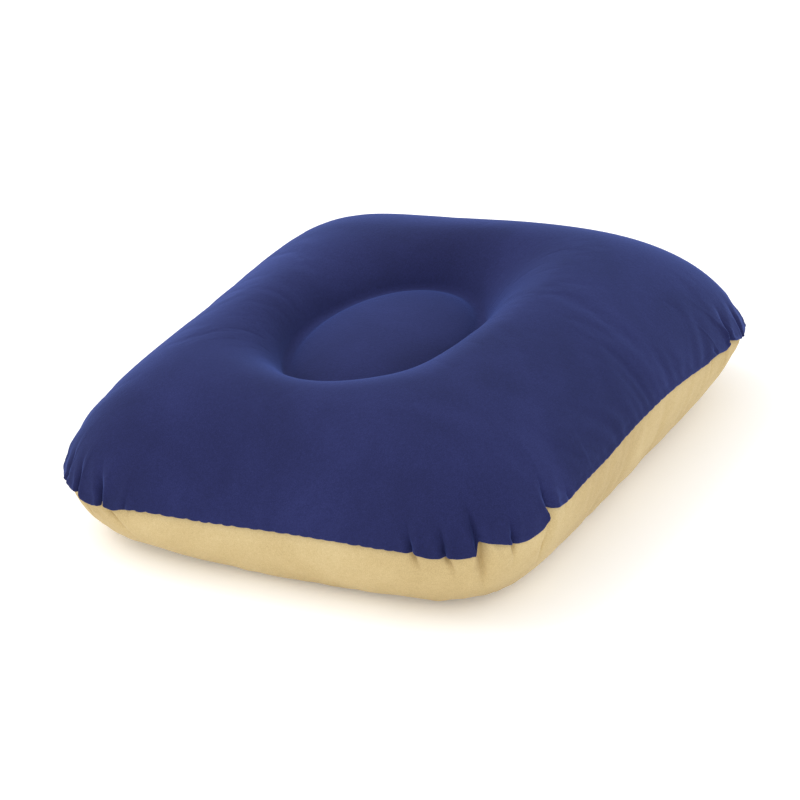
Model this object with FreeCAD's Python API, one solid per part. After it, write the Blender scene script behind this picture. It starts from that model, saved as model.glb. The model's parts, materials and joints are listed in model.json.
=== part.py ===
import FreeCAD, Part
import math
import os

# Inflatable camp pillow: two flocked PVC sheets welded together round the edge, held to an even
# thickness by an oval web between them, and blown up through a push-in valve in one short end.
# Millimetres. X is the long way, Y the short way, +Z up; the origin is on the ground under the centre.

Vector = FreeCAD.Vector

# Driving dimensions of the inflated cushion
NOMINAL_LENGTH = 460.0     # between the ends, if they were straight
NOMINAL_WIDTH = 347.4
CORNER_POWER = 5.1         # superellipse power of the outline
END_PULL_IN = 0.0425       # share of the half length that the middle of an end draws in
SIDE_PULL_IN = 0.0416      # the same for the half width and the long sides
SHEET = 0.8                # film and flock together
SEAM_ALLOWANCE = 7.0       # sheet turned inwards and welded face to face

# Top line of the bulge round the oval well: thickest on the -Y side, where the bulge is widest
CROWN_HEIGHT = 109.9
CROWN_SIDE_TILT = 8.15
CROWN_END_DROP = 2.54
CROWN_TWIST = 0.86         # the +X +Y and -X -Y corners are lower than the other two
CROWN_CORNER_RISE = 0.98
CROWN_END_WAVE = 1.26      # slower swells that come from how the sheets happen to take the air
CROWN_SIDE_WAVE = 0.48

SEAM_HEIGHT = 50.0         # level all round; the real seam wanders a little about it

# Oval weld that ties the two sheets together
RING_HALF_LENGTH = 88.5
RING_HALF_WIDTH = 50.5
RING_SHIFT_Y = 18.5
WELD_BAND = 6.0
TOP_RING_HEIGHT = 78.0
BOTTOM_RING_HEIGHT = 24.0
DOME_RISE = 11.0
BOTTOM_DOME_RISE = 10.0
DOME_CAP = 0.75            # height of the dome before stretching, cut from a ball, for a rim of radius 1
FLOOR_DIP = 1.5            # depth of cushion that the ground flattens

# Section of the bulge between the ring and the seam
CROWN_SHARE = 0.322        # place of the crown, as a share of the way from ring to seam
EDGE_TURN = 67.2           # degrees that the top has turned down by when it meets the seam
TOP_FULLNESS = 0.524       # length of the shoulder curve's handles, as a share of the full corner
BOTTOM_FULLNESS = 0.49
BOTTOM_CORNER_THINNING = 0.11
BULGE_INSET = 2.7          # how far the lower wall lies inside the seam
FLOOR_START = 0.34
FLOOR_END = 0.70
CORNER_FLOOR_GROWTH = 0.05
CORNER_LIFT = 5.6          # height of the floor's outer edge at a corner
WALL_LEAN = 27.5           # degrees of the rising arc that are missing at the ring

# Web
WEB = 0.6
WEB_FLANGE = 5.0
VENT_RADIUS = 4.0

# Valve, measured along its own axis from the outside of the sheet
VALVE_HEIGHT = 28.0
PATCH_RADIUS = 18.0
PATCH = 1.0
PATCH_DEPTH = 8.0          # how far in from the valve's seat the curved patch can lie
MOUTH_RADIUS = 11.0
NECK = 0.6
NECK_DEPTH = 12.0
STEM_RADIUS = 5.6
BORE_RADIUS = 4.1
STEM_FOOT_RADIUS = 6.8
STEM_FOOT = 1.2
STEM_LIP = 0.2
PIN_RADIUS = 4.05
PIN_LENGTH = 8.0
PIN_CHAMFER = 0.6
CAP_RADIUS = 7.6
CAP = 1.6
EAR_WIDTH = 6.0
EAR_REACH = 4.0            # how far the ear stands out past the cap
STRAP_WIDTH = 3.0
STRAP = 1.0
STRAP_ANCHOR = -3.0
FLAP_RADIUS = 5.4
FLAP = 0.6
TAB_WIDTH = 4.0
TAB_REACH = 1.0            # how far the flap's tab stands out past the disc
GAP = 0.1                  # clearance between pieces that move against each other

OUTLINE_POINTS = 72
RISE_SECTIONS = 5
SHOULDER_SECTIONS = 8
HIGH = 200.0               # above everything

HALF_LENGTH = NOMINAL_LENGTH / 2
HALF_WIDTH = NOMINAL_WIDTH / 2


def seam_point(angle):
    """Point of the seam seen from above: a superellipse whose sides draw in at the middle."""
    cosine = math.cos(angle)
    sine = math.sin(angle)
    reach = (abs(cosine) ** CORNER_POWER + abs(sine) ** CORNER_POWER) ** (-1 / CORNER_POWER)
    x = HALF_LENGTH * reach * cosine
    y = HALF_WIDTH * reach * sine
    pulled_x = x * (1 - END_PULL_IN * (1 - (y / HALF_WIDTH) ** 2))
    pulled_y = y * (1 - SIDE_PULL_IN * (1 - (x / HALF_LENGTH) ** 2))
    return pulled_x, pulled_y


def cornerness(angle):
    return math.sin(2 * angle) ** 2


def crown_height(angle):
    drop = CROWN_END_DROP * math.cos(2 * angle) + CROWN_TWIST * math.sin(2 * angle)
    tilt = CROWN_SIDE_TILT * math.sin(angle)
    wave = CROWN_END_WAVE * math.cos(3 * angle) - CROWN_SIDE_WAVE * math.sin(3 * angle)
    return CROWN_HEIGHT - drop - tilt + CROWN_CORNER_RISE * cornerness(angle) + wave


def ring_point(angle, growth):
    """Point of the oval weld, or of the oval that lies `growth` outside it."""
    x = (RING_HALF_LENGTH + growth) * math.cos(angle)
    y = RING_SHIFT_Y + (RING_HALF_WIDTH + growth) * math.sin(angle)
    return x, y


def span_at(angle):
    """Level distance from the oval weld band to the seam."""
    start = ring_point(angle, WELD_BAND)
    end = seam_point(angle)
    return math.hypot(end[0] - start[0], end[1] - start[1])


def rising_wall(width, foot, top):
    """Wall that climbs (or sinks) from the weld band and turns level, without its last point."""
    lean = math.radians(WALL_LEAN)
    points = []
    for step in range(RISE_SECTIONS):
        turn = lean + (math.pi / 2 - lean) * step / RISE_SECTIONS
        out = width * (1 - math.cos(turn) / math.cos(lean))
        share = (math.sin(turn) - math.sin(lean)) / (1 - math.sin(lean))
        points.append((out, foot + (top - foot) * share))
    return points


def shoulder_point(part, reach, climb, turn, fullness):
    """Point of the cubic curve that starts level and has turned by `turn` after reach and climb."""
    corner = reach - climb / math.tan(turn)
    second = 3 * (1 - part) ** 2 * part
    third = 3 * (1 - part) * part ** 2
    out = second * fullness * corner
    out += third * (reach + fullness * (corner - reach)) + part ** 3 * reach
    height = third * climb * (1 - fullness) + part ** 3 * climb
    return out, height


def lower_curve(angle):
    """Start of the lower shoulder curve (out, height), its reach and climb, and its fullness."""
    corner = cornerness(angle)
    span = span_at(angle)
    start = (FLOOR_END + CORNER_FLOOR_GROWTH * corner) * span
    low = CORNER_LIFT * corner - FLOOR_DIP * (1 - corner)
    reach = span - BULGE_INSET - start
    fullness = BOTTOM_FULLNESS - BOTTOM_CORNER_THINNING * corner
    return start, low, reach, SEAM_HEIGHT - low, fullness


def upper_section(angle):
    """Points (out from the weld band, height) from the top weld over the crown to the seam."""
    span = span_at(angle)
    crown = crown_height(angle)
    climb = crown - SEAM_HEIGHT
    crown_out = CROWN_SHARE * span
    points = rising_wall(crown_out, TOP_RING_HEIGHT, crown)
    for step in range(SHOULDER_SECTIONS + 1):
        out, down = shoulder_point(
            step / SHOULDER_SECTIONS, span - crown_out, climb, math.radians(EDGE_TURN), TOP_FULLNESS
        )
        points.append((crown_out + out, crown - down))
    return points


def lower_section(angle):
    """Points (out from the weld band, height) from the bottom weld over the floor to the seam."""
    start, low, reach, rise, fullness = lower_curve(angle)
    floor_out = FLOOR_START * span_at(angle)
    points = rising_wall(floor_out, BOTTOM_RING_HEIGHT, -FLOOR_DIP)
    points.append((floor_out, -FLOOR_DIP))
    points.append(((start + floor_out) / 2, low / 4 - FLOOR_DIP * 3 / 4))
    for step in range(SHOULDER_SECTIONS + 1):
        out, up = shoulder_point(step / SHOULDER_SECTIONS, reach, rise, math.pi / 2, fullness)
        points.append((start + out, low + up))
    return points


def moved_inwards(points, side, inset):
    """A section moved `inset` into the cushion along its own normal; its last point stays level."""
    last = len(points) - 1
    moved = []
    for index, (out, height) in enumerate(points):
        before = points[max(index - 1, 0)]
        after = points[min(index + 1, last)]
        run = after[0] - before[0]
        rise = side * (after[1] - before[1])
        length = math.hypot(run, rise)
        moved.append((out + inset * rise / length, height - side * inset * run / length))
    moved[0] = (moved[0][0], points[0][1] - side * inset)
    moved[last] = (points[last][0] - inset, points[last][1] + side * inset)
    return moved


def closed_wire(points):
    curve = Part.BSplineCurve()
    curve.interpolate(Points=points, PeriodicFlag=True)
    return Part.Wire(curve.toShape())


def dome(ring_height, rise, inset, side):
    """The small cushion inside the ring: a cap of an ellipsoid standing on the oval weld."""
    ball_radius = (1 + DOME_CAP ** 2) / (2 * DOME_CAP)
    ball = Part.makeSphere(ball_radius, Vector(0, 0, DOME_CAP - ball_radius))
    cap = ball.common(Part.makeBox(4, 4, 2, Vector(-2, -2, 0)))
    stretch = FreeCAD.Matrix()
    stretch.scale(
        RING_HALF_LENGTH - inset,
        RING_HALF_WIDTH - inset,
        side * rise / DOME_CAP,
    )
    stretch.move(Vector(0, RING_SHIFT_Y, ring_height - side * inset))
    return cap.transformGeometry(stretch)


def slab(low, high):
    reach = NOMINAL_LENGTH
    return Part.makeBox(2 * reach, 2 * reach, high - low, Vector(-reach, -reach, low))


def half_cushion(side, inset):
    """Filled half of the cushion, `inset` smaller all round: side +1 is above the seam, -1 below."""
    rows = []
    for index in range(OUTLINE_POINTS):
        angle = 2 * math.pi * index / OUTLINE_POINTS
        start = ring_point(angle, WELD_BAND)
        end = seam_point(angle)
        span = span_at(angle)
        section = upper_section(angle) if side > 0 else lower_section(angle)
        row = []
        for out, height in moved_inwards(section, side, inset):
            x = start[0] + (end[0] - start[0]) * out / span
            y = start[1] + (end[1] - start[1]) * out / span
            row.append(Vector(x, y, height))
        rows.append(row)
    wires = [closed_wire([row[level] for row in rows]) for level in range(len(rows[0]))]
    return Part.makeLoft(wires, True, False)


def top_half(inset):
    return half_cushion(1, inset).fuse(dome(TOP_RING_HEIGHT, DOME_RISE, inset, 1))


def bottom_half(inset):
    """Lower half with the flat that it stands on."""
    whole = half_cushion(-1, inset).fuse(dome(BOTTOM_RING_HEIGHT, BOTTOM_DOME_RISE, inset, -1))
    return whole.common(slab(inset, HIGH))


def seam_opening():
    """What is left open inside the turned-in seam allowance."""
    points = []
    for index in range(OUTLINE_POINTS):
        x, y = seam_point(2 * math.pi * index / OUTLINE_POINTS)
        inner_x = x * (1 - SEAM_ALLOWANCE / HALF_LENGTH)
        inner_y = y * (1 - SEAM_ALLOWANCE / HALF_WIDTH)
        points.append(Vector(inner_x, inner_y, SEAM_HEIGHT - 3 * SHEET))
    return Part.Face(closed_wire(points)).extrude(Vector(0, 0, 6 * SHEET))


def oval(growth, low, high):
    """Upright oval block around the ring's centre."""
    points = []
    for index in range(OUTLINE_POINTS):
        x, y = ring_point(2 * math.pi * index / OUTLINE_POINTS, growth)
        points.append(Vector(x, y, low))
    return Part.Face(closed_wire(points)).extrude(Vector(0, 0, high - low))


def centre_web():
    """Upright strip closed into an oval, its edges turned out and welded under both sheets."""
    low = BOTTOM_RING_HEIGHT + SHEET
    high = TOP_RING_HEIGHT - SHEET
    inner = WELD_BAND - WEB_FLANGE - WEB
    wall = oval(inner + WEB, low, high).cut(oval(inner, low - 1, high + 1))
    web = wall
    for level in (low, high - WEB):
        foot = oval(inner + WEB_FLANGE, level, level + WEB)
        web = web.fuse(foot.cut(oval(inner, level - 1, level + WEB + 1)))
    middle = (low + high) / 2
    lengthwise = Part.makeCylinder(
        VENT_RADIUS, NOMINAL_LENGTH, Vector(-HALF_LENGTH, RING_SHIFT_Y, middle), Vector(1, 0, 0)
    )
    crosswise = Part.makeCylinder(
        VENT_RADIUS, NOMINAL_LENGTH, Vector(0, RING_SHIFT_Y - HALF_LENGTH, middle), Vector(0, 1, 0)
    )
    return web.cut(lengthwise).cut(crosswise).removeSplitter()


def valve_seat():
    """Place and outward direction of the valve on the middle of the +X end's lower wall."""
    start, low, reach, rise, fullness = lower_curve(0.0)
    below = 0.0
    above = 1.0
    while above - below > 1e-6:
        part = (below + above) / 2
        if low + shoulder_point(part, reach, rise, math.pi / 2, fullness)[1] < VALVE_HEIGHT:
            below = part
        else:
            above = part
    before = shoulder_point(part - 0.01, reach, rise, math.pi / 2, fullness)
    after = shoulder_point(part + 0.01, reach, rise, math.pi / 2, fullness)
    direction = Vector(after[1] - before[1], 0, before[0] - after[0])
    direction.normalize()
    out = (before[0] + after[0]) / 2
    return Vector(ring_point(0.0, WELD_BAND)[0] + start + out, 0, VALVE_HEIGHT), direction


def on_valve(shape):
    """Move a piece drawn upright about the Z axis to the valve's place."""
    place, direction = valve_seat()
    turn = FreeCAD.Rotation(Vector(0, 0, 1), direction)
    moved = shape.copy()
    moved.Placement = FreeCAD.Placement(place, turn)
    return moved


def upright_tube(outer, inner, low, high):
    tube = Part.makeCylinder(outer, high - low, Vector(0, 0, low))
    return tube.cut(Part.makeCylinder(inner, high - low + 2, Vector(0, 0, low - 1)))


def valve_bore(radius, depth):
    """Round block through the wall at the valve, used to cut the hole and trim the patch."""
    return on_valve(Part.makeCylinder(radius, depth + 30, Vector(0, 0, -depth)))


def valve_patch():
    """Round base welded inside the end wall and following its curve."""
    layer = bottom_half(SHEET).cut(bottom_half(SHEET + PATCH))
    return layer.common(valve_bore(PATCH_RADIUS, PATCH_DEPTH)).cut(valve_bore(MOUTH_RADIUS, 30))


def valve_neck():
    """Thin cone that lets the stem push in below the surface of the sheet."""
    top = -SHEET - PATCH
    foot = -NECK_DEPTH
    outer = Part.makeCone(STEM_FOOT_RADIUS, MOUTH_RADIUS - GAP, top - foot, Vector(0, 0, foot))
    inner = Part.makeCone(
        STEM_FOOT_RADIUS - NECK, MOUTH_RADIUS - GAP - NECK, top - foot, Vector(0, 0, foot)
    )
    return on_valve(outer.cut(inner))


def valve_stem():
    """Mouthpiece tube with a foot that the neck is moulded to."""
    foot = -NECK_DEPTH - GAP - STEM_FOOT
    tube = upright_tube(STEM_RADIUS, BORE_RADIUS, foot, STEM_LIP)
    rim = upright_tube(STEM_FOOT_RADIUS, BORE_RADIUS, foot, foot + STEM_FOOT)
    return on_valve(tube.fuse(rim).removeSplitter())


def check_flap():
    """Soft disc over the inner end of the bore, held by a tab on one side."""
    top = -NECK_DEPTH - STEM_FOOT - 2 * GAP
    disc = Part.makeCylinder(FLAP_RADIUS, FLAP, Vector(0, 0, top - FLAP))
    tab = Part.makeBox(FLAP_RADIUS + TAB_REACH, TAB_WIDTH, FLAP, Vector(0, -TAB_WIDTH / 2, top - FLAP))
    return on_valve(disc.fuse(tab).removeSplitter())


def valve_plug():
    """Push-in plug: a pin, a cap over the stem's lip, and an ear to pull it by."""
    seat = STEM_LIP + GAP
    pin = Part.makeCylinder(PIN_RADIUS, PIN_LENGTH, Vector(0, 0, seat - PIN_LENGTH))
    tip = pin.Edges[0] if pin.Edges[0].BoundBox.ZMax < seat - 1 else pin.Edges[2]
    pin = pin.makeChamfer(PIN_CHAMFER, [tip])
    cap = Part.makeCylinder(CAP_RADIUS, CAP, Vector(0, 0, seat))
    ear = Part.makeBox(CAP_RADIUS + EAR_REACH, EAR_WIDTH, CAP, Vector(0, -EAR_WIDTH / 2, seat))
    return on_valve(pin.fuse(cap).fuse(ear).removeSplitter())


def plug_strap():
    """Moulded strap that loops from the side of the stem to the edge of the cap."""
    high = STEM_LIP + GAP + CAP / 2
    middle = (high + STRAP_ANCHOR) / 2
    radius = (high - STRAP_ANCHOR) / 2
    centre = Vector(-CAP_RADIUS, 0, middle)
    loop = Part.makeCylinder(
        radius + STRAP / 2, STRAP_WIDTH, centre + Vector(0, -STRAP_WIDTH / 2, 0), Vector(0, 1, 0)
    )
    hole = Part.makeCylinder(
        radius - STRAP / 2, STRAP_WIDTH + 2, centre + Vector(0, -STRAP_WIDTH / 2 - 1, 0), Vector(0, 1, 0)
    )
    ring = loop.cut(hole)
    outside = Part.makeBox(20, 20, 20, Vector(-CAP_RADIUS - 20, -10, middle - 10))
    strap = ring.common(outside)
    for level in (high, STRAP_ANCHOR):
        corner = Vector(-CAP_RADIUS, -STRAP_WIDTH / 2, level - STRAP / 2)
        strap = strap.fuse(Part.makeBox(CAP_RADIUS, STRAP_WIDTH, STRAP, corner))
    strap = strap.cut(Part.makeCylinder(STEM_RADIUS + GAP, 40, Vector(0, 0, -20)))
    strap = strap.cut(Part.makeCylinder(CAP_RADIUS + GAP, 40, Vector(0, 0, STEM_LIP)))
    return on_valve(strap.removeSplitter())


def top_panel():
    return top_half(0.0).cut(top_half(SHEET)).cut(seam_opening())


def bottom_panel():
    sheet = bottom_half(0.0).cut(bottom_half(SHEET)).cut(seam_opening())
    return sheet.cut(valve_bore(MOUTH_RADIUS, 10))


PIECES = {
    "top_panel": top_panel,
    "bottom_panel": bottom_panel,
    "centre_web": centre_web,
    "valve_patch": valve_patch,
    "valve_neck": valve_neck,
    "valve_stem": valve_stem,
    "check_flap": check_flap,
    "valve_plug": valve_plug,
    "plug_strap": plug_strap,
}

os.makedirs("parts", exist_ok=True)
for name, make in PIECES.items():
    shape = make()
    solids = Part.makeCompound(shape.Solids)
    solids.exportStep("parts/" + name + ".step")
    box = solids.BoundBox
    print(name, len(shape.Solids), shape.isValid(), round(shape.Volume / 1000, 2), "cm3", box)
place, direction = valve_seat()
print("valve at", place, "pointing", direction)
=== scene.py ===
import json
import math

import bmesh
import bpy
import numpy as np
from mathutils import Matrix, Vector


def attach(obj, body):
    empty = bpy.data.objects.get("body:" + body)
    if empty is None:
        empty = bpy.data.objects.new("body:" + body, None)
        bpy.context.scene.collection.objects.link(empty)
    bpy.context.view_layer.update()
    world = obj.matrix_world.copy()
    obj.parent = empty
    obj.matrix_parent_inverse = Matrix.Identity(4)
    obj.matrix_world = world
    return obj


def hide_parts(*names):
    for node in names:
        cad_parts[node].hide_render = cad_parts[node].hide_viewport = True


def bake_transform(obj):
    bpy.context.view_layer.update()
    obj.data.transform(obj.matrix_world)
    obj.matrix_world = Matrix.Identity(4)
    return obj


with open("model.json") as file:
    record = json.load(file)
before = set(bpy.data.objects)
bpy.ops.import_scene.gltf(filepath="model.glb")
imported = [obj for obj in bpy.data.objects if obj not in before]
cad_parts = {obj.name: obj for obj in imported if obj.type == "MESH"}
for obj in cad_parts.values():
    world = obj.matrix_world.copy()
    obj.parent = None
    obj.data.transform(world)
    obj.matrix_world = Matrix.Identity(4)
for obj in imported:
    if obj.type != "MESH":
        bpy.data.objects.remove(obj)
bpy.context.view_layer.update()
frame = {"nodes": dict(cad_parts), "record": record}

# ---------------------------------------------------------------- the cushion's proportions, in metres
HALF_LENGTH = 0.230
HALF_WIDTH = 0.1737
CORNER_POWER = 5.1                      # how square the outline's corners are
END_PULL_IN = 0.0425                    # share by which the middle of a short end is drawn in
SIDE_PULL_IN = 0.0416                   # and the middle of a long side
WELL_X, WELL_Y = 0.0885, 0.0505         # half axes of the oval weld's inner edge
WELL_SHIFT = 0.0185                     # of the well towards +Y
BAND = 0.006                            # width of the weld
TOP_WELD_HEIGHT = 0.078
BOTTOM_WELD_HEIGHT = 0.024
TOP_DOME = 0.011                        # rise of the dome in the well
BOTTOM_DOME = 0.010
CROWN_SHARE = 0.322                     # where the crown lies on the way from the weld to the edge
FLAT_START, FLAT_END = 0.34, 0.70       # and the flat band underneath
TOP_HANDLE = 0.524                      # how full the shoulder is
BOTTOM_HANDLE = 0.49
EDGE_TURN = math.radians(67.2)          # slope of the blue sheet where it reaches the edge
WALL_LEAN = math.radians(27.5)          # lean of the well's wall
WELD_INSET = 0.0046                     # how far the weld lies behind the blue sheet's edge
BULGE_INSET = 0.0027                    # how far the sand sheet's wall lies behind it
DOME_EDGE = 1.04                        # a dome is cut from an oval cap this much larger than the weld
FOLD_RADIUS = 0.0011                    # of the blue sheet's turned-under edge

# ---------------------------------------------------------------- how finely the meshes are divided
SHEET_COLUMNS = 1070
TOP_ROWS, BOTTOM_ROWS = (16, 46), (14, 40)      # from the weld to the crown, and from there to the seam
TOP_DOME_ROWS, BOTTOM_DOME_ROWS = 14, 12
FLAT_ROWS = 8                                   # across the band that the cushion stands on
FOLD_ROWS = 6
OUTLINE_STEPS = 20001
SIM_COLUMNS, SIM_ROWS, SIM_FRAMES = 300, (6, 22), 20


def outline(angle):
    """The blue sheet's outer edge, seen from above."""
    c, s = np.cos(angle), np.sin(angle)
    reach = (np.abs(c) ** CORNER_POWER + np.abs(s) ** CORNER_POWER) ** (-1 / CORNER_POWER)
    x, y = HALF_LENGTH * reach * c, HALF_WIDTH * reach * s
    pull_x = END_PULL_IN * (1 - (y / HALF_WIDTH) ** 2)
    pull_y = SIDE_PULL_IN * (1 - (x / HALF_LENGTH) ** 2)
    return x * (1 - pull_x), y * (1 - pull_y)


def smooth(x, low, high):
    """Nothing below low, one above high, and a soft step between them."""
    t = np.clip((x - low) / (high - low), 0, 1)
    return t * t * (3 - 2 * t)


def near_angle(angle, degrees, width):
    """One at the given angle, falling to nothing round it."""
    away = (np.degrees(angle) - degrees + 180) % 360 - 180
    return np.exp(-(away / width) ** 2)


def seam_height(angle):
    """The seam wanders: high along the -Y side, lower round the rest, with one corner that dips."""
    dip = 0.012 * near_angle(angle, 315, 26)
    lift = 0.0084 * np.sqrt(np.cos(angle) ** 2 + 0.02)
    return (0.0489 - 0.0047 * np.sin(2 * angle) ** 2 - 0.0087 * np.cos(2 * angle)
            - 0.0086 * np.sin(angle) + lift - dip)


def crown_height(angle):
    """Height of the ridge round the well: highest on the -Y side, lowest towards +Y."""
    return (0.1099 - 0.00254 * np.cos(2 * angle) - 0.00086 * np.sin(2 * angle) - 0.00815 * np.sin(angle)
            + 0.00098 * np.sin(2 * angle) ** 2 + 0.00126 * np.cos(3 * angle) - 0.00048 * np.sin(3 * angle)
            - 0.0048 * near_angle(angle, 52, 38) - 0.0018 * near_angle(angle, 110, 26))


# ---------------------------------------------------------------- columns, evenly spread along the edge
def columns(count, creases=()):
    """Angles spread evenly along the edge, bunched up at the creases (places in mm along it)."""
    fine = np.linspace(0, 2 * np.pi, OUTLINE_STEPS)
    x, y = outline(fine)
    middle = (fine[1:] + fine[:-1]) / 2
    weight = 1 + 0.35 * np.sin(2 * middle) ** 8
    along, total = edge_distance(middle)
    for place in creases:
        weight += 1.6 * np.exp(-(wrapped(along - place, total) / 3.5) ** 2)
    length = np.concatenate([[0], np.cumsum(np.hypot(np.diff(x), np.diff(y)) * weight)])
    return np.interp(np.arange(count) * length[-1] / count, length, fine)


def crease_places():
    """Where the corner puckers lie along the edge."""
    places = []
    for degrees, corner in CORNERS.items():
        start = edge_distance(np.array([math.radians(degrees)]))[0][0]
        places += [start + pucker[0] for pucker in corner["puckers"]]
    return places


def edge_distance(angle):
    """Distance along the edge, in millimetres, from angle 0."""
    fine = np.linspace(0, 2 * np.pi, OUTLINE_STEPS)
    x, y = outline(fine)
    length = np.concatenate([[0], np.cumsum(np.hypot(np.diff(x), np.diff(y)))]) * 1000
    return np.interp(angle, fine, length), length[-1]


# Every corner: puckers as (place along the edge, depth, half width on each side, reach, slant above the seam,
# slant below it), in mm or mm per mm, and the blue edge's sag as (place, drop) pairs. Places are measured from
# the corner, counter-clockwise.
CORNERS = {
    225: dict(
        puckers=[(-58.6, 2.4, 2.2, 2.6, 10, -0.04, 0.42), (-37.0, 2.8, 2.4, 2.2, 12, -0.05, 0.42),
                 (-15.5, 5.5, 1.6, 4.6, 18, -0.08, 0.24), (8.7, 2.2, 2.2, 2.4, 10, -0.06, 0.18),
                 (43.5, 5.5, 2.0, 4.6, 15, -0.05, -0.06), (66.0, 0.5, 2.2, 2.4, 6, 0.0, 0.0)],
        sag=[(-105, 0), (-71, 0), (-60, 0.2), (-58, 0.3), (-53, 1.7), (-44, 2.7), (-39, 2.1), (-37, 1.1),
             (-33.6, 2.0), (-29, 2.5), (-22, 2.3), (-17.3, 1.0), (-15.5, -8.8), (-12.4, -7.3), (-6, -4.6),
             (-1.4, -2.9), (7.5, 0.0), (8.7, -0.6), (11, 0.7), (24, 2.7), (35, 2.0), (40, -1.5),
             (43.5, -10.5), (47, -7.0), (55, -4.0), (64.7, -2.7), (80, -3.0), (102, -2.0), (135, 0)]),
    135: dict(
        puckers=[(-50, 1.2, 2.4, 2.4, 9, 0.05, 0.0), (-24, 1.8, 2.4, 2.4, 11, 0.0, 0.0),
                 (-4, 2.4, 2.2, 2.4, 12, -0.10, 0.1), (15, 2.4, 2.0, 2.2, 12, -0.20, 0.2),
                 (40.5, 3.4, 2.4, 1.8, 13, -0.38, 0.45), (60, 0.6, 2.4, 2.4, 5, 0.0, 0.0)],
        sag=[(-95, 0), (-54, 1.5), (-50, -0.2), (-40, 2.6), (-28, 2.0), (-24, -0.4), (-15, 3.2),
             (-6, 2.5), (-4, -1.0), (0, 2.5), (7, 3.2), (12.5, 2.6), (15, 0.5), (20.5, 5.6), (32, 5.4),
             (38.5, 3.4), (40.5, 2.4), (45, 3.4), (50, 3.8), (58, 1.2), (64, 0), (81, -1.2), (104, -0.6),
             (123, 0)]),
    315: dict(
        puckers=[(-92, 0.4, 2.4, 2.4, 6, 0.0, 0.0), (-66.0, 5.0, 1.6, 3.0, 16, 0.62, 0.1),
                 (-36, 3.2, 2.4, 2.0, 13, 0.30, 0.0), (-8, 3.4, 2.2, 2.4, 14, 0.03, 0.0),
                 (16, 2.6, 2.2, 2.2, 12, 0.05, 0.0), (40, 1.6, 2.4, 2.4, 10, 0.05, 0.0)],
        sag=[(-120, 0), (-88, -2.0), (-74, -0.8), (-69, -2.6), (-66, -8.0), (-62, -5.4), (-54, -2.6),
             (-46, -0.6), (-39, 0.8), (-36, -1.0), (-32, 1.6), (-20, 1.8), (-11, 1.2), (-8, -1.5),
             (-4, 1.2), (6, 2.5), (13, 1.6), (16, -1.0), (20, 1.6), (32, 2.4), (40, 0.2), (46, 1.4),
             (75, 0)]),
    45: dict(
        puckers=[(-54, 1.4, 2.4, 2.4, 10, -0.05, 0.0), (-31, 3.2, 2.0, 3.2, 14, -0.05, 0.1),
                 (-7, 2.4, 2.2, 2.2, 12, 0.0, 0.0), (19, 4.2, 3.0, 2.0, 16, 0.05, -0.1),
                 (44, 1.8, 2.4, 2.4, 10, 0.05, 0.0)],
        sag=[(-90, 0), (-58, 1.4), (-54, -0.2), (-46, 2.0), (-35, 1.8), (-31, -3.6), (-25, -0.5),
             (-14, 2.4), (-9, 1.8), (-7, -0.6), (-3, 1.8), (8, 3.0), (15, 2.0), (19, -4.6), (24, -1.5),
             (36, 2.0), (44, 0.0), (50, 1.4), (85, 0)]),
}


def wrapped(value, total):
    """The value brought within half a lap of zero."""
    return (value + total / 2) % total - total / 2


def rounded(place, places, values):
    """Smooth curve through the points that doesn't overshoot them; level outside them."""
    xs, ys = np.array(places, float), np.array(values, float)
    slope = np.diff(ys) / np.diff(xs)
    lean = np.zeros(len(xs))
    same = slope[:-1] * slope[1:] > 0
    lean[1:-1][same] = 2 * slope[:-1][same] * slope[1:][same] / (slope[:-1][same] + slope[1:][same])
    k = np.clip(np.searchsorted(xs, place) - 1, 0, len(xs) - 2)
    step = xs[k + 1] - xs[k]
    t = np.clip((place - xs[k]) / step, 0, 1)
    return (ys[k] * (1 + 2 * t) * (1 - t) ** 2 + ys[k + 1] * t * t * (3 - 2 * t)
            + step * (lean[k] * t * (1 - t) ** 2 - lean[k + 1] * t * t * (1 - t)))


DEEPEST = 7.0                                   # mm, deepest pucker
ABOVE = dict(shorten=1.0, amount=1.25, sharp=0.8, narrow=1.0)       # a pucker in the blue sheet
BELOW = dict(shorten=1.1, amount=1.5, sharp=1.8, narrow=0.8)        # shorter and sharper in the sand sheet
SCALLOP_LENGTH, SCALLOP_SIZE = (6.5, 10.5), (0.5, 1.3)              # mm, and share of the usual size


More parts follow.
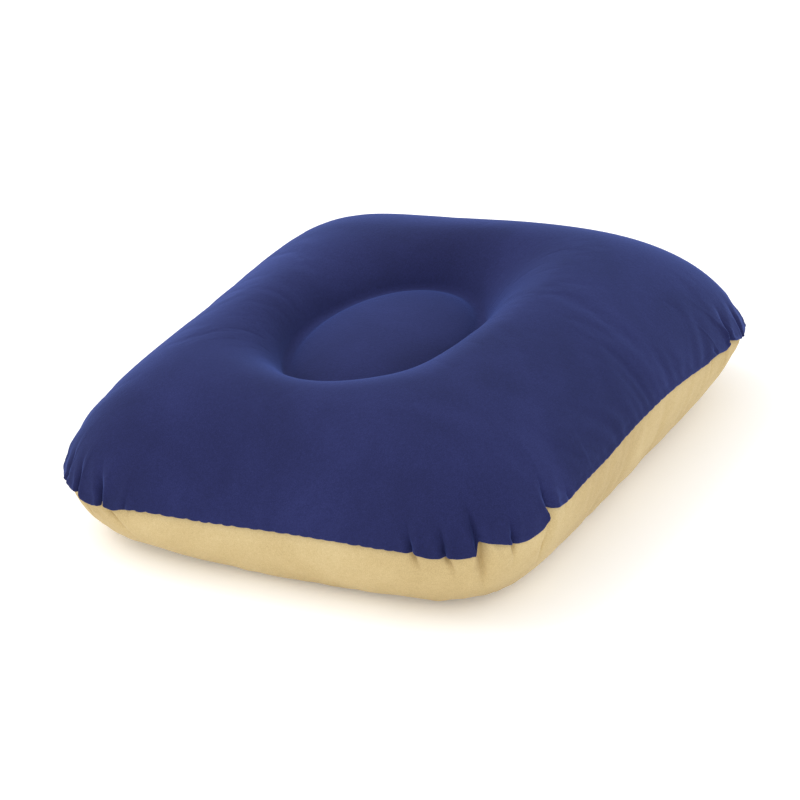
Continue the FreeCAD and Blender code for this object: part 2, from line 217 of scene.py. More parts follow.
class Edge:
    """What happens along the seam: puckers, sag of the blue edge and its small scallops."""

    def __init__(self, angle):
        self.s, self.total = edge_distance(angle)
        rng = np.random.default_rng(11)
        self.puckers = []
        fine = np.arange(0, self.total, 0.25)
        sag = np.zeros_like(fine)
        calm = np.ones_like(fine)
        for degrees, corner in CORNERS.items():
            start = edge_distance(np.array([math.radians(degrees)]))[0][0]
            off = wrapped(fine - start, self.total)
            xs, ys = zip(*corner["sag"])
            sag += rounded(off, xs, ys)
            first, last = corner["puckers"][0][0], corner["puckers"][-1][0]
            calm *= 1 - smooth(off, first - 14, first + 2) * (1 - smooth(off, last - 2, last + 12))
            for place, *rest in corner["puckers"]:
                self.puckers.append((start + place, *rest))
        # scallops of the straight runs, largest on the -X end, with a small pucker at each of their cusps
        turn = np.interp(fine, self.s, angle)
        size = 0.45 + 0.75 * near_angle(turn, 165, 28) - 0.12 * near_angle(turn, 285, 30)
        scallops = np.zeros_like(fine)
        place = 0.0
        while place < self.total - 6:
            period = rng.uniform(*SCALLOP_LENGTH)
            amount = rng.uniform(*SCALLOP_SIZE) * np.interp(place, fine, size)
            t = (fine - place) / period
            inside = (t >= 0) & (t < 1)
            scallops[inside] = amount * (np.abs(np.sin(np.pi * t[inside])) ** 0.7 - 0.62)
            here = np.interp(place, fine, calm)
            if here > 0.15:
                reach = rng.uniform(2.5, 4.5)
                self.puckers.append((place, 0.3 * amount * here, 1.3, 1.3, reach, 0.0, 0.0))
            place += period
        total = sag + scallops * (0.12 + 0.88 * calm)
        kernel = np.exp(-np.linspace(-2.2, 2.2, 9) ** 2)
        total = np.convolve(np.concatenate([total[-4:], total, total[:4]]), kernel / kernel.sum(), "valid")
        self.drop = np.interp(self.s, fine, total, period=self.total)

    def depth(self, h, side=1):
        """How far the sheet is pulled in at height h (mm, same shape as the columns) from the edge."""
        form = ABOVE if side > 0 else BELOW
        pulled = np.zeros(np.broadcast(self.s, h).shape)
        for place, depth, left, right, length, slant, fall in self.puckers:
            x = wrapped(self.s - place - (slant if side > 0 else fall) * h, self.total)
            width = np.where(x < 0, left, right) * 0.8 + 0.10 * h
            fade = np.exp(-(h / (length * form["shorten"])) ** 1.8)
            valley = np.exp(-np.abs(x / width) ** 1.15)
            ridge = np.exp(-((np.abs(x) / width - 2.0) / 1.0) ** 2)
            groove = np.exp(-np.abs(x / (form["narrow"] + 0.02 * h)) ** 1.3)
            section = valley - 0.25 * ridge + form["sharp"] * groove
            pulled = pulled + form["amount"] * depth * fade * section
        return DEEPEST * np.tanh(pulled / DEEPEST)


# ---------------------------------------------------------------- sections
def lerp(a, b, t):
    """The value that is t of the way from a to b."""
    return a + (b - a) * t


def section_rows(angle, side, counts):
    """Rows from the oval weld to the seam, each as its distance from the weld and its height, all per column.

    Also gives the weld's and the rim's places seen from above, and the distance between them.
    """
    corner = np.sin(2 * angle) ** 2
    rim_x, rim_y = outline(angle)
    ring_x = (WELL_X + BAND) * np.cos(angle)
    ring_y = WELL_SHIFT + (WELL_Y + BAND) * np.sin(angle)
    span = np.hypot(rim_x - ring_x, rim_y - ring_y)
    seam = seam_height(angle)
    rows = []
    rise, shoulder = counts
    if side > 0:
        crown, weld = crown_height(angle), TOP_WELD_HEIGHT
        share = CROWN_SHARE + 0.006 * corner
        turn = EDGE_TURN + math.radians(2.4) * corner
        handle = TOP_HANDLE + 0.004 * corner
        end = span
        for k in range(rise):
            t = lerp(WALL_LEAN, np.pi / 2, k / rise)
            rows.append((share * span * (1 - np.cos(t) / np.cos(WALL_LEAN)),
                         weld + (crown - weld) * (np.sin(t) - np.sin(WALL_LEAN)) / (1 - np.sin(WALL_LEAN))))
        start_d, start_z = share * span, crown
    else:
        weld = BOTTOM_WELD_HEIGHT
        lift = (0.0056 - 0.0026 * near_angle(angle, 225, 25)) * corner
        share_in, share_out = FLAT_START, FLAT_END + 0.05 * corner
        turn = np.full_like(angle, np.pi / 2)
        handle = BOTTOM_HANDLE - 0.11 * corner
        end = span - BULGE_INSET
        for k in range(rise):
            t = lerp(WALL_LEAN, np.pi / 2, k / rise)
            rows.append((share_in * span * (1 - np.cos(t) / np.cos(WALL_LEAN)),
                         weld - weld * (np.sin(t) - np.sin(WALL_LEAN)) / (1 - np.sin(WALL_LEAN))))
        for k in range(FLAT_ROWS):
            t = k / FLAT_ROWS
            rows.append((lerp(share_in, share_out, t) * span, lift * t ** 2))
        start_d, start_z = share_out * span, lift
    reach = end - start_d
    climb = np.abs(start_z - seam)
    corner_d = np.maximum(reach - climb / np.tan(turn), 0.15 * reach)
    for k in range(shoulder + 1):
        t = k / shoulder
        t = t + 0.10 * np.sin(np.pi * t) * t            # closer rows near the seam
        b1, b2, b3 = 3 * (1 - t) ** 2 * t, 3 * (1 - t) * t * t, t ** 3
        d = b1 * handle * corner_d + b2 * (reach + handle * (corner_d - reach)) + b3 * reach
        z = b2 * (climb - handle * climb) + b3 * climb
        rows.append((start_d + d, start_z - side * z))
    return rows, (ring_x, ring_y), (rim_x, rim_y), span


def unit(v):
    """The vectors brought to a length of one."""
    return v / np.linalg.norm(v, axis=-1, keepdims=True)


def place_rows(rows, ring, rim, span):
    """Points of the rows, each column in its own upright plane between the weld and the rim."""
    d = np.array([r[0] + 0 * span for r in rows])
    z = np.array([r[1] + 0 * span for r in rows])
    x = ring[0] + (rim[0] - ring[0]) * d / span
    y = ring[1] + (rim[1] - ring[1]) * d / span
    return np.stack([x, y, z], -1)


def outward_flat(angle):
    """Level outward normal of the outline."""
    step = 1e-4
    xa, ya = outline(angle - step)
    xb, yb = outline(angle + step)
    tangent = unit(np.stack([xb - xa, yb - ya], -1))
    return np.stack([tangent[:, 1], -tangent[:, 0], 0 * angle], -1)


def grid_normals(points, side):
    """Outward normals of a sheet's points."""
    along = np.roll(points, -1, 1) - np.roll(points, 1, 1)
    across = np.gradient(points, axis=0)
    return unit(np.cross(across, along)) * side


def dome_rows(angle, side, count):
    """Middle point and rows of the dome inside the weld, and of the weld band itself."""
    weld = TOP_WELD_HEIGHT if side > 0 else BOTTOM_WELD_HEIGHT
    rise = TOP_DOME if side > 0 else BOTTOM_DOME
    rows = []
    for k in range(1, count + 1):
        f = 1 - (1 - k / count) ** 1.25
        foot = math.sqrt(DOME_EDGE ** 2 - 1)
        height = weld + side * rise * (math.sqrt(DOME_EDGE ** 2 - f * f) - foot) / (DOME_EDGE - foot)
        x, y = WELL_X * f * np.cos(angle), WELL_SHIFT + WELL_Y * f * np.sin(angle)
        rows.append(np.stack([x, y, height + 0 * angle], -1))
    for k in range(1, 3):
        f = k / 3
        x = (WELL_X + BAND * f) * np.cos(angle)
        y = WELL_SHIFT + (WELL_Y + BAND * f) * np.sin(angle)
        height = weld - side * 0.0006 * math.sin(math.pi * f)
        rows.append(np.stack([x, y, height + 0 * angle], -1))
    centre = np.array([0, WELL_SHIFT, weld + side * rise])
    return centre, np.array(rows)


def distance_from_edge(points):
    """Length along each column from the last row, in millimetres."""
    steps = np.linalg.norm(np.diff(points, axis=0), axis=-1)
    back = np.cumsum(steps[::-1], axis=0)[::-1]
    return np.concatenate([back, np.zeros((1, points.shape[1]))]) * 1000


def drawn_in(angle):
    """The corner away from the dip is a little blunter than the rest."""
    return 0.0050 * near_angle(angle, 141, 10)


def weld_line(angle, edge):
    """Where the two sheets meet: behind the blue edge, further in at the puckers, up where it is drawn up."""
    rim_x, rim_y = outline(angle)
    out = outward_flat(angle)
    pulled = edge.depth(np.zeros_like(angle)) / 1000
    raised = np.where(edge.drop < 0, -edge.drop, -0.35 * edge.drop) / 1000
    base = np.stack([rim_x, rim_y, seam_height(angle) + 0.0010 + raised], -1)
    return base - out * (WELD_INSET + drawn_in(angle) + 0.9 * pulled)[:, None]


def top_sheet(angle, edge):
    """The blue sheet from the weld to its scalloped edge, turned under to meet the sand sheet."""
    sheet = place_rows(*section_rows(angle, 1, TOP_ROWS))
    if SLACK:
        loose = spread(SLACK[1], SLACK_ANGLE, row_places(SIM_ROWS, 0), angle, row_places(TOP_ROWS, 0))
        sheet = sheet + loose * (0.2 + 0.4 * np.exp(-distance_from_edge(sheet) / 25))[..., None]
    out = outward_flat(angle)
    normal = grid_normals(sheet, 1)
    h = distance_from_edge(sheet)
    bead = 0.35 * np.exp(-((h - 3.4) / 1.3) ** 2)        # the line that the seam's weld leaves
    pulled = (np.array([edge.depth(row) for row in h]) + bead) / 1000
    hollow = 0.0016 * near_angle(angle, 317, 8) * np.exp(-((h - 13) / 8) ** 2)
    sheet = sheet - out * (drawn_in(angle) * np.exp(-(h / 26) ** 2) + hollow)[..., None]
    sag_reach = np.where(np.abs(edge.drop) > 2, 12, 5)
    sag = edge.drop[None, :] / 1000 * np.exp(-(h / sag_reach) ** 1.1)
    sheet = sheet - normal * pulled[..., None]
    sheet[..., 2] -= sag
    # the fold under the edge
    direction = unit(sheet[-1] - sheet[-2])
    weld = weld_line(angle, edge)
    fold = []
    here = sheet[-1]
    down = np.array([0, 0, -1.0])
    begin = np.arctan2(-direction[:, 2], np.sum(direction * out, -1))
    finish = math.radians(188)
    for k in range(FOLD_ROWS):
        a = lerp(begin, finish, (k + 0.5) / FOLD_ROWS)
        stride = (finish - begin) / FOLD_ROWS * FOLD_RADIUS
        here = here + (out * np.cos(a)[:, None] + down * np.sin(a)[:, None]) * stride[:, None]
        fold.append(here)
    for k in range(1, 5):
        t = k / 4
        fold.append(here * (1 - t) + weld * t)
    return np.concatenate([sheet, np.array(fold)])


def bottom_sheet(angle, edge):
    """The sand sheet from the weld underneath to the seam, tucked in behind the blue edge."""
    sheet = place_rows(*section_rows(angle, -1, BOTTOM_ROWS))
    if SLACK:
        coarse_rows, fine_rows = row_places(SIM_ROWS, FLAT_ROWS), row_places(BOTTOM_ROWS, FLAT_ROWS)
        loose = spread(SLACK[-1], SLACK_ANGLE, coarse_rows, angle, fine_rows)
        sheet = sheet + loose * 0.35
    out = outward_flat(angle)
    normal = grid_normals(sheet, -1)
    h = distance_from_edge(sheet)
    pulled = np.array([edge.depth(row, -1) for row in h]) / 1000
    sheet = sheet - normal * pulled[..., None]
    sheet = sheet - out * (drawn_in(angle) * np.exp(-(h / 30) ** 2))[..., None]
    weld = weld_line(angle, edge)
    raised = np.maximum(-edge.drop, 0) / 1000
    sheet = sheet - out * (0.3 * raised * np.exp(-h / 8))[..., None]
    lift = (weld[:, 2] - sheet[-1, :, 2])[None, :] * np.exp(-(h / 9.0) ** 1.2)
    sheet[..., 2] += lift
    tuck = np.exp(-(h / 2.6) ** 1.5)
    move = (weld - sheet[-1])[None] * tuck[..., None]
    move[..., 2] = 0
    sheet = sheet + move
    sheet[-1] = weld
    sheet[..., 2] = np.maximum(sheet[..., 2], 0)
    return sheet


# ---------------------------------------------------------------- meshes
def add_object(name, vertices, faces, material, smooth_shading=True):
    """A mesh object in the scene with one material."""
    mesh = bpy.data.meshes.new(name)
    mesh.from_pydata([tuple(v) for v in vertices], [], faces)
    mesh.materials.append(material)
    for polygon in mesh.polygons:
        polygon.use_smooth = smooth_shading
    mesh.update()
    piece = bpy.data.objects.new(name, mesh)
    bpy.context.scene.collection.objects.link(piece)
    return piece


def polar_mesh(centre, grid, side):
    """Vertices and faces of a sheet: a middle point and rings of points round it."""
    rows, cols = grid.shape[:2]
    vertices = np.concatenate([[centre], grid.reshape(-1, 3)])
    index = 1 + np.arange(rows * cols).reshape(rows, cols)
    nxt = np.roll(index, -1, 1)
    faces = [(0, int(a), int(b)) for a, b in zip(index[0], nxt[0])]
    quads = np.stack([index[:-1], index[1:], nxt[1:], nxt[:-1]], -1).reshape(-1, 4)
    faces += [tuple(int(i) for i in q) for q in quads]
    if side < 0:
        faces = [tuple(reversed(f)) for f in faces]
    return vertices, faces


# ---------------------------------------------------------------- cloth simulation of the slack in the sheets
LARGEST_FOLD = 0.0035
FLOOR_TOUCH = 0.0008                    # points lower than this lie on the floor and stay there


def row_places(counts, flats):
    """Where each row lies along the section, so that rows of two meshes can be matched."""
    rise, shoulder = counts
    return np.concatenate([np.arange(rise) / rise,
                           1 + np.arange(flats) / max(flats, 1),
                           2 + np.arange(shoulder + 1) / shoulder])


def simulated_slack():
    """Inflates a coarse copy of the two sheets with slack film and returns how each point moved."""
    angle = columns(SIM_COLUMNS)
    top, bottom = (place_rows(*section_rows(angle, side, SIM_ROWS)) for side in (1, -1))
    grid = np.concatenate([top, bottom[::-1]])
    rows = grid.shape[0]
    index = np.arange(rows * SIM_COLUMNS).reshape(rows, SIM_COLUMNS)
    nxt = np.roll(index, -1, 1)
    faces = np.stack([index[:-1], index[1:], nxt[1:], nxt[:-1]], -1).reshape(-1, 4).tolist()
    mesh = bpy.data.meshes.new("slack")
    mesh.from_pydata(grid.reshape(-1, 3).tolist(), [], faces)
    body = bpy.data.objects.new("slack", mesh)
    bpy.context.scene.collection.objects.link(body)
    fixed = body.vertex_groups.new(name="fixed")
    held = [index[0], index[1], index[-1], index[-2], index[len(top) - 1], index[len(top)]]
    fixed.add(np.concatenate(held).tolist(), 1.0, "REPLACE")
    low = np.nonzero(grid.reshape(-1, 3)[:, 2] < FLOOR_TOUCH)[0]
    fixed.add(low.tolist(), 1.0, "REPLACE")
    cloth = body.modifiers.new("slack", "CLOTH")
    settings = cloth.settings
    settings.quality = 7
    settings.mass = 0.25
    settings.tension_stiffness = 25
    settings.compression_stiffness = 25
    settings.shear_stiffness = 12
    settings.bending_stiffness = 0.05
    settings.use_pressure = True
    settings.uniform_pressure_force = 4
    settings.effector_weights.gravity = 0
    settings.shrink_min = -0.035
    settings.vertex_group_mass = "fixed"
    cloth.collision_settings.use_collision = False
    cloth.point_cache.frame_start, cloth.point_cache.frame_end = 1, SIM_FRAMES
    scene = bpy.context.scene
    for number in range(1, SIM_FRAMES + 1):
        scene.frame_set(number)
    graph = bpy.context.evaluated_depsgraph_get()
    solved = body.evaluated_get(graph).to_mesh()
    points = np.empty(len(solved.vertices) * 3)
    solved.vertices.foreach_get("co", points)
    move = points.reshape(rows, SIM_COLUMNS, 3) - grid
    scene.frame_set(1)
    bpy.data.objects.remove(body, do_unlink=True)
    # keep the folds, not the swelling: the cushion's size is the CAD's
    reach = 10
    kernel = np.exp(-np.linspace(-2, 2, 2 * reach + 1) ** 2)
    kernel /= kernel.sum()
    padded = np.concatenate([move[:, -reach:], move, move[:, :reach]], 1)
    swell = np.stack([[np.convolve(row[:, axis], kernel, "valid") for axis in range(3)] for row in padded])
    move = move - np.moveaxis(swell, 1, -1)
    size = np.linalg.norm(move, axis=-1, keepdims=True)
    move = move * np.minimum(1, LARGEST_FOLD / np.maximum(size, 1e-9))
    return angle, {1: move[:len(top)], -1: move[len(top):][::-1]}


def spread(move, coarse_angle, coarse_rows, angle, rows):
    """The coarse movement read at the rows and columns of a finer mesh."""
    by_row = np.empty((len(rows), move.shape[1], 3))
    for axis in range(3):
        for column in range(move.shape[1]):
            by_row[:, column, axis] = np.interp(rows, coarse_rows, move[:, column, axis])
    fine = np.empty((len(rows), len(angle), 3))
    for axis in range(3):
        for row in range(len(rows)):
            fine[row, :, axis] = np.interp(angle, coarse_angle, by_row[row, :, axis], period=2 * np.pi)
    for _ in range(3):
        fine = (np.roll(fine, 1, 1) + 2 * fine + np.roll(fine, -1, 1)) / 4
    return fine


# ---------------------------------------------------------------- materials
def srgb(r, g, b):
    """A shader colour from the usual 0 to 255 values."""
    def one(v):
        v /= 255
        return v / 12.92 if v <= 0.04045 else ((v + 0.055) / 1.055) ** 2.4
    return (one(r), one(g), one(b), 1)


def new_material(name):
    """A node material, with its nodes, links and main shader."""
    material = bpy.data.materials.new(name)
    material.use_nodes = True
    nodes = material.node_tree.nodes
    return material, nodes, material.node_tree.links, nodes["Principled BSDF"]


def node(nodes, kind, **values):
    """A new shader node with the given inputs or settings."""
    made = nodes.new(kind)
    for key, value in values.items():
        if key in made.inputs.keys():
            made.inputs[key].default_value = value
        else:
            setattr(made, key, value)
    return made


def flock(name, dark, mid, light, sheen, sheen_tint):
    """Short matte pile: dense grain, soft brushed patches and velvet sheen."""
    material, nodes, links, shader = new_material(name)
    shader.inputs["Roughness"].default_value = 0.95
    shader.inputs["Specular IOR Level"].default_value = 0.15
    shader.inputs["Sheen Weight"].default_value = sheen
    shader.inputs["Sheen Roughness"].default_value = 0.38
    shader.inputs["Sheen Tint"].default_value = sheen_tint
    place = nodes.new("ShaderNodeTexCoord")
    patches = node(nodes, "ShaderNodeTexNoise", Scale=11.0, Detail=3.0, Roughness=0.55, Distortion=0.6)
    grain = node(nodes, "ShaderNodeTexNoise", Scale=1500.0, Detail=2.0, Roughness=0.7)
    clumps = node(nodes, "ShaderNodeTexNoise", Scale=420.0, Detail=3.0, Roughness=0.6)
    for texture in (patches, grain, clumps):
        links.new(place.outputs["Object"], texture.inputs["Vector"])
    ramp = nodes.new("ShaderNodeValToRGB")
    ramp.color_ramp.elements[0].position = 0.30
    ramp.color_ramp.elements[0].color = dark
    ramp.color_ramp.elements[1].position = 0.72
    ramp.color_ramp.elements[1].color = light
    middle = ramp.color_ramp.elements.new(0.5)
    middle.color = mid
    mix = node(nodes, "ShaderNodeMath", operation="MULTIPLY_ADD")
    links.new(grain.outputs["Fac"], mix.inputs[0])
    mix.inputs[1].default_value = 0.45
    part = node(nodes, "ShaderNodeMath", operation="MULTIPLY_ADD")
    links.new(patches.outputs["Fac"], part.inputs[0])
    part.inputs[1].default_value = 0.42
    third = node(nodes, "ShaderNodeMath", operation="MULTIPLY")
    links.new(clumps.outputs["Fac"], third.inputs[0])
    third.inputs[1].default_value = 0.13
    links.new(third.outputs[0], part.inputs[2])
    links.new(part.outputs[0], mix.inputs[2])
    links.new(mix.outputs[0], ramp.inputs["Fac"])
    links.new(ramp.outputs["Color"], shader.inputs["Base Color"])
    bump = node(nodes, "ShaderNodeBump", Strength=0.35, Distance=0.00025)
    links.new(grain.outputs["Fac"], bump.inputs["Height"])
    wide = node(nodes, "ShaderNodeBump", Strength=0.25, Distance=0.0006)
    links.new(clumps.outputs["Fac"], wide.inputs["Height"])
    links.new(wide.outputs["Normal"], bump.inputs["Normal"])
    links.new(bump.outputs["Normal"], shader.inputs["Normal"])
    return material


def vinyl(name, colour, deep, roughness, clear=0.0):
    """Moulded soft vinyl: slight cloudiness, fine moulding grain, waxy gloss."""
    material, nodes, links, shader = new_material(name)
    shader.inputs["Roughness"].default_value = roughness
    shader.inputs["IOR"].default_value = 1.53
    shader.inputs["Transmission Weight"].default_value = clear
    shader.inputs["Coat Weight"].default_value = 0.15
    shader.inputs["Coat Roughness"].default_value = 0.3
    place = nodes.new("ShaderNodeTexCoord")
    cloud = node(nodes, "ShaderNodeTexNoise", Scale=180.0, Detail=3.0, Roughness=0.6)
    grain = node(nodes, "ShaderNodeTexNoise", Scale=2600.0, Detail=1.0, Roughness=0.5)
    links.new(place.outputs["Object"], cloud.inputs["Vector"])
    links.new(place.outputs["Object"], grain.inputs["Vector"])
    ramp = nodes.new("ShaderNodeValToRGB")
    ramp.color_ramp.elements[0].position = 0.35
    ramp.color_ramp.elements[0].color = deep
    ramp.color_ramp.elements[1].position = 0.65
    ramp.color_ramp.elements[1].color = colour
    links.new(cloud.outputs["Fac"], ramp.inputs["Fac"])
    links.new(ramp.outputs["Color"], shader.inputs["Base Color"])
    gloss = nodes.new("ShaderNodeMapRange")
    gloss.inputs["To Min"].default_value = max(roughness - 0.06, 0)
    gloss.inputs["To Max"].default_value = roughness + 0.08
    links.new(cloud.outputs["Fac"], gloss.inputs["Value"])
    links.new(gloss.outputs["Result"], shader.inputs["Roughness"])
    bump = node(nodes, "ShaderNodeBump", Strength=0.15, Distance=0.0001)
    links.new(grain.outputs["Fac"], bump.inputs["Height"])
    links.new(bump.outputs["Normal"], shader.inputs["Normal"])
    return material


NAVY = flock("navy_flock", srgb(25, 28, 60), srgb(34, 38, 80), srgb(46, 51, 100), 0.46, srgb(95, 126, 220))
SAND = flock("sand_flock", srgb(166, 142, 99), srgb(194, 172, 125), srgb(214, 195, 151), 0.21,
             srgb(255, 240, 210))
VALVE = vinyl("valve_vinyl", srgb(206, 198, 176), srgb(184, 175, 152), 0.38, clear=0.25)
FILM = vinyl("clear_film", srgb(225, 226, 222), srgb(206, 208, 204), 0.32, clear=0.6)
PLUG = vinyl("plug_vinyl", srgb(210, 203, 184), srgb(188, 180, 160), 0.34, clear=0.1)

# ---------------------------------------------------------------- the two sheets
ANGLES = columns(SHEET_COLUMNS, crease_places())
EDGE = Edge(ANGLES)
SLACK_ANGLE, SLACK = simulated_slack()


def node_points(name):
    """The points of a CAD node's mesh."""
    mesh = frame["nodes"][name].data
    points = np.empty(len(mesh.vertices) * 3)
    mesh.vertices.foreach_get("co", points)
    return points.reshape(-1, 3)


# the valve's own frame: its axis points out of the wall, depth 0 lies on the sheet
STEM_SLIDE = next(j for j in frame["record"]["behaviour"]["joints"] if j["name"] == "stem_slide")
VALVE_AXIS = np.array(STEM_SLIDE["axis"], float)
VALVE_AXIS /= np.linalg.norm(VALVE_AXIS)
STEM_POINTS = node_points("valve_stem")
STEM_MIDDLE = (STEM_POINTS.max(0) + STEM_POINTS.min(0)) / 2
STEM_LIP = 0.0002                       # how far the stem's outer end stands out of the sheet
LIP_DISTANCE = (STEM_POINTS @ VALVE_AXIS).max() - STEM_LIP - STEM_MIDDLE @ VALVE_AXIS
VALVE_PLACE = STEM_MIDDLE + VALVE_AXIS * LIP_DISTANCE
VALVE_PLACE[1] = 0.0
VALVE_X = np.array([VALVE_AXIS[2], 0, -VALVE_AXIS[0]])
VALVE_Y = np.array([0.0, 1.0, 0.0])
MOUTH_RADIUS, NECK_DEPTH = 0.011, 0.012
CUT_DEPTH = 0.012                       # the mouth is cut through what lies this close to the valve's place
RIM_SEARCH, RIM_WIDTH = 0.004, 0.0025   # past the mouth's radius, where its edge is looked for and found


def at_valve(x, y, out):
    """The point x and y across the valve and out along its axis."""
    across = np.multiply.outer(x, VALVE_X) + np.multiply.outer(y, VALVE_Y)
    return VALVE_PLACE + across + np.multiply.outer(out, VALVE_AXIS)


def in_valve(points):
    """Place across the valve (x, y) and out along its axis."""
    away = points - VALVE_PLACE
    return away @ VALVE_X, away @ VALVE_Y, away @ VALVE_AXIS


def cut_mouth(vertices, faces):
    """Takes the faces inside the valve's mouth out and draws the hole's edge onto a circle."""
    x, y, out = in_valve(vertices)
    radius = np.hypot(x, y)
    near = np.abs(out) < CUT_DEPTH
    inside = near & (radius < MOUTH_RADIUS)
    kept = []
    for face in faces:
        count = sum(bool(inside[i]) for i in face)
        if count == 0:
            kept.append(face)
        elif count < len(face):
            centre = np.mean([vertices[i] for i in face], 0)
            cx, cy, _ = in_valve(centre)
            if math.hypot(cx, cy) >= MOUTH_RADIUS:
                kept.append(face)
    count_edges = {}
    for face in kept:
        if not any(near[i] and radius[i] < MOUTH_RADIUS + RIM_SEARCH for i in face):
            continue
        for a, b in zip(face, face[1:] + face[:1]):
            key = (min(a, b), max(a, b))
            count_edges[key] = count_edges.get(key, 0) + 1
    edge = {i for key, count in count_edges.items() if count == 1 for i in key
            if near[i] and radius[i] < MOUTH_RADIUS + RIM_WIDTH}
    vertices = vertices.copy()
    for i in edge:
        ratio = MOUTH_RADIUS / radius[i]
        vertices[i] = at_valve(x[i] * ratio, y[i] * ratio, out[i])
    return vertices, kept, sorted(edge)


def build_sheet(name, side, material, count):
    """One whole sheet as an object, and for the sand one also where the edge of its valve hole runs."""
    centre, dome = dome_rows(ANGLES, side, count)
    walls = top_sheet(ANGLES, EDGE) if side > 0 else bottom_sheet(ANGLES, EDGE)
    grid = np.concatenate([dome, walls])
    vertices, faces = polar_mesh(centre, grid, side)
    rim = None
    if side < 0:
        vertices, faces, edge = cut_mouth(vertices, faces)
        x, y, out = in_valve(vertices[edge])
        order = np.argsort(np.arctan2(y, x))
        rim = (np.arctan2(y, x)[order], out[order])
    piece = add_object(name, vertices, faces, material)
    loose = bmesh.new()
    loose.from_mesh(piece.data)
    bmesh.ops.delete(loose, geom=[v for v in loose.verts if not v.link_faces], context="VERTS")
    loose.to_mesh(piece.data)
    loose.free()
    return piece, rim


top_cover, _ = build_sheet("top_cover", 1, NAVY, TOP_DOME_ROWS)
bottom_cover, MOUTH_RIM = build_sheet("bottom_cover", -1, SAND, BOTTOM_DOME_ROWS)

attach(top_cover, "cushion")
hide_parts("top_panel")
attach(bottom_cover, "cushion")
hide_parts("bottom_panel")


# ---------------------------------------------------------------- neck of the valve
def ring_mesh(rings, closed=False):
    """Vertices and faces of rings of points joined one to the next."""
    rows, cols = len(rings), len(rings[0])
    index = np.arange(rows * cols).reshape(rows, cols)
    if closed:
        index = np.concatenate([index, index[:1]])
    nxt = np.roll(index, -1, 1)
    faces = np.stack([index[:-1], nxt[:-1], nxt[1:], index[1:]], -1).reshape(-1, 4).tolist()
    return np.concatenate(rings), faces


def neck_sleeve():
    """Thin sleeve from a rounded bead on the sheet's hole down to the stem's foot, with soft pleat rings."""
    turn = np.linspace(0, 2 * np.pi, 97)[:-1]
    wall = np.interp(turn, MOUTH_RIM[0], MOUTH_RIM[1], period=2 * np.pi)
    smooth_wall = wall.copy()
    for _ in range(6):
        smooth_wall = (np.roll(smooth_wall, 1) + 2 * smooth_wall + np.roll(smooth_wall, -1)) / 4
    # radius and place along the axis, in mm: the bead, then three soft steps down to the foot
    bead = [(11.55, 0.05), (11.6, 0.45), (11.3, 0.75), (10.9, 0.8), (10.55, 0.5)]
    steps = [(10.45, -0.2), (10.3, -1.2), (9.9, -2.2), (9.55, -2.9), (9.5, -3.6), (9.1, -4.6), (8.75, -5.2),
             (8.7, -6.0), (8.3, -7.1), (8.0, -7.7), (7.95, -8.5), (7.5, -9.8), (7.1, -11.2), (6.85, -12.0)]
    outer = bead + steps
    inner = [(r + 0.55, w - 0.25) for r, w in reversed(steps)]
    rings = []
    for r, w in outer + inner:
        share = min(max(1 + w / 9, 0), 1)
        x, y = r / 1000 * np.cos(turn), r / 1000 * np.sin(turn)
        rings.append(at_valve(x, y, w / 1000 + smooth_wall * share))
    vertices, faces = ring_mesh(rings, closed=True)
    return add_object("neck_sleeve", vertices, faces, VALVE)


def strap_loop():
    """Flat moulded strap looping from the stem's side to the edge of the plug's cap."""
    high, low = 1.1, -3.0               # mm along the valve's axis
    middle, radius = (high + low) / 2, (high - low) / 2
    path = [(-5.4, low), (-6.4, low)]
    bend = np.linspace(0, math.pi, 15)
    path += [(-7.4 - radius * math.sin(a), middle - radius * math.cos(a)) for a in bend]
    path += [(-7.0, high)]
    path = np.array(path)
    tangent = unit(np.gradient(path, axis=0))
    across = np.stack([-tangent[:, 1], tangent[:, 0]], -1)
    wide, thick = 1.5, 0.5
    shape = [(wide * np.sign(c) * abs(c) ** 0.5, thick * np.sign(s) * abs(s) ** 0.7)
             for c, s in ((math.cos(a), math.sin(a)) for a in np.linspace(0, 2 * math.pi, 17)[:-1])]
    rings = []
    for (x, out), (ax, aw) in zip(path, across):
        ring = [at_valve((x + ax * t) / 1000, y / 1000, (out + aw * t) / 1000) for y, t in shape]
        rings.append(np.array(ring))
    vertices, faces = ring_mesh(rings)
    sides = len(shape)
    faces += [list(range(sides))[::-1], list(range(len(vertices) - sides, len(vertices)))]
    return add_object("strap_loop", vertices, faces, PLUG)


def fix_normals(piece):
    """Turns every face of a closed piece outwards."""
    mesh = bmesh.new()
    mesh.from_mesh(piece.data)
    bmesh.ops.recalc_face_normals(mesh, faces=mesh.faces)
    mesh.to_mesh(piece.data)
    mesh.free()


sleeve = neck_sleeve()
strap = strap_loop()
for piece in (sleeve, strap):
    fix_normals(piece)
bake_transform(sleeve)
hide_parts("valve_neck")
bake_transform(strap)
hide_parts("plug_strap")

# ---------------------------------------------------------------- CAD nodes that stay
FINISH = {
    "centre_web": FILM,
    "valve_patch": VALVE,
    "valve_stem": VALVE,
    "check_flap": VALVE,
    "valve_plug": PLUG,
}
for name, material in FINISH.items():
    kept = frame["nodes"][name]
    for slot in kept.material_slots:
        slot.material = material
    if not kept.material_slots:
        kept.data.materials.append(material)

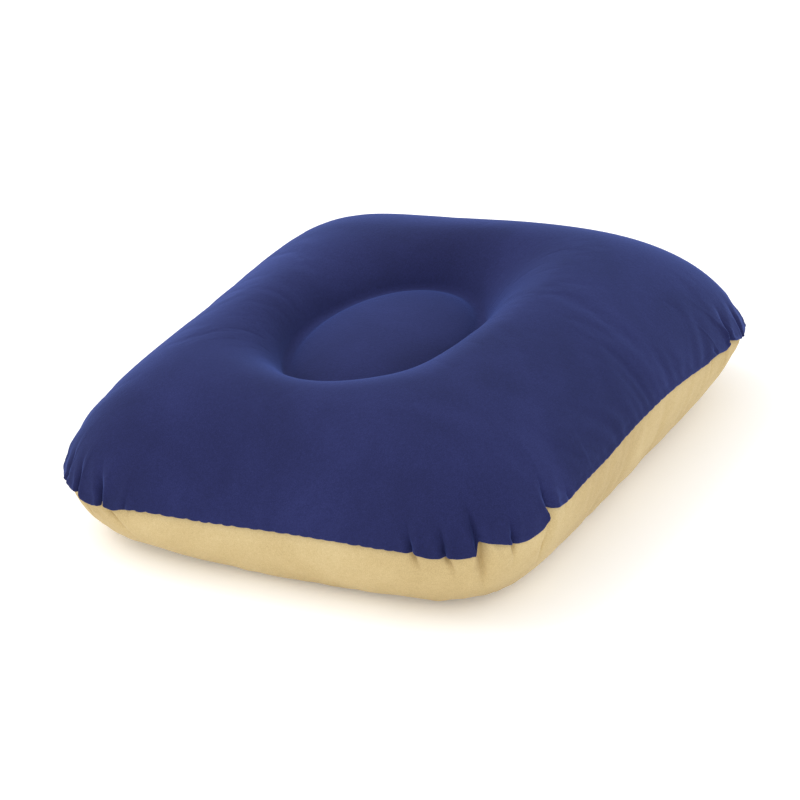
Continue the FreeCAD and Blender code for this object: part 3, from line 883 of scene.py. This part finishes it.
# ---------------------------------------------------------------- floor, light and camera
floor_material, _, _, floor_shader = new_material("studio_floor")
floor_shader.inputs["Base Color"].default_value = (0.96, 0.96, 0.96, 1)
floor_shader.inputs["Roughness"].default_value = 0.9
floor_shader.inputs["Emission Color"].default_value = (1, 1, 1, 1)
floor_shader.inputs["Emission Strength"].default_value = 0.16
floor_corners = [(-6, -6, 0), (6, -6, 0), (6, 6, 0), (-6, 6, 0)]
floor = add_object("studio_floor", floor_corners, [(0, 1, 2, 3)], floor_material, False)
floor.location.z = -0.0005

AZIMUTH, ELEVATION, ROLL = math.radians(-65.49), math.radians(24.9), math.radians(-0.508)
DISTANCE = 3.6366                       # metres from the aim point
LENS, SENSOR = 255.42842, 36            # mm
AIM_LEFT, AIM_UP = 0.0073550, -0.0169651    # where the camera aims, in metres left of and above the middle
MIDDLE_HEIGHT = 0.06
back = Vector((math.sin(AZIMUTH) * math.cos(ELEVATION),
               -math.cos(AZIMUTH) * math.cos(ELEVATION),
               math.sin(ELEVATION)))
level = Vector((math.cos(AZIMUTH), math.sin(AZIMUTH), 0))
upright = back.cross(level)
right = level * math.cos(ROLL) + upright * math.sin(ROLL)
up = upright * math.cos(ROLL) - level * math.sin(ROLL)
aim = Vector((0, 0, MIDDLE_HEIGHT)) - right * AIM_LEFT + up * AIM_UP
camera_data = bpy.data.cameras.new("camera")
camera_data.sensor_width = SENSOR
camera_data.lens = LENS
camera_data.clip_end = 50
camera = bpy.data.objects.new("camera", camera_data)
bpy.context.scene.collection.objects.link(camera)
camera.location = aim + back * DISTANCE
turn = Matrix((right, up, back)).transposed()
camera.rotation_euler = turn.to_euler()
bpy.context.scene.camera = camera


def area_light(name, place, size, power):
    """Round soft light turned towards the cushion."""
    data = bpy.data.lights.new(name, "AREA")
    data.shape = "DISK"
    data.size = size
    data.energy = power
    lamp = bpy.data.objects.new(name, data)
    lamp.location = place
    lamp.rotation_euler = (Vector((0, 0, 0.05)) - Vector(place)).to_track_quat("-Z", "Y").to_euler()
    bpy.context.scene.collection.objects.link(lamp)


area_light("key", (-0.4, 1.9, 2.2), 2.8, 38)
area_light("front", (-2.6, -1.2, 1.6), 2.2, 12)
area_light("side", (2.4, -2.2, 1.4), 2.2, 9)
world = bpy.data.worlds.new("studio")
world.use_nodes = True
background = world.node_tree.nodes["Background"]
background.inputs["Color"].default_value = (1, 1, 1, 1)
background.inputs["Strength"].default_value = 0.98
bpy.context.scene.world = world
bpy.context.scene.view_settings.view_transform = "Standard"
bpy.context.scene.view_settings.look = "None"
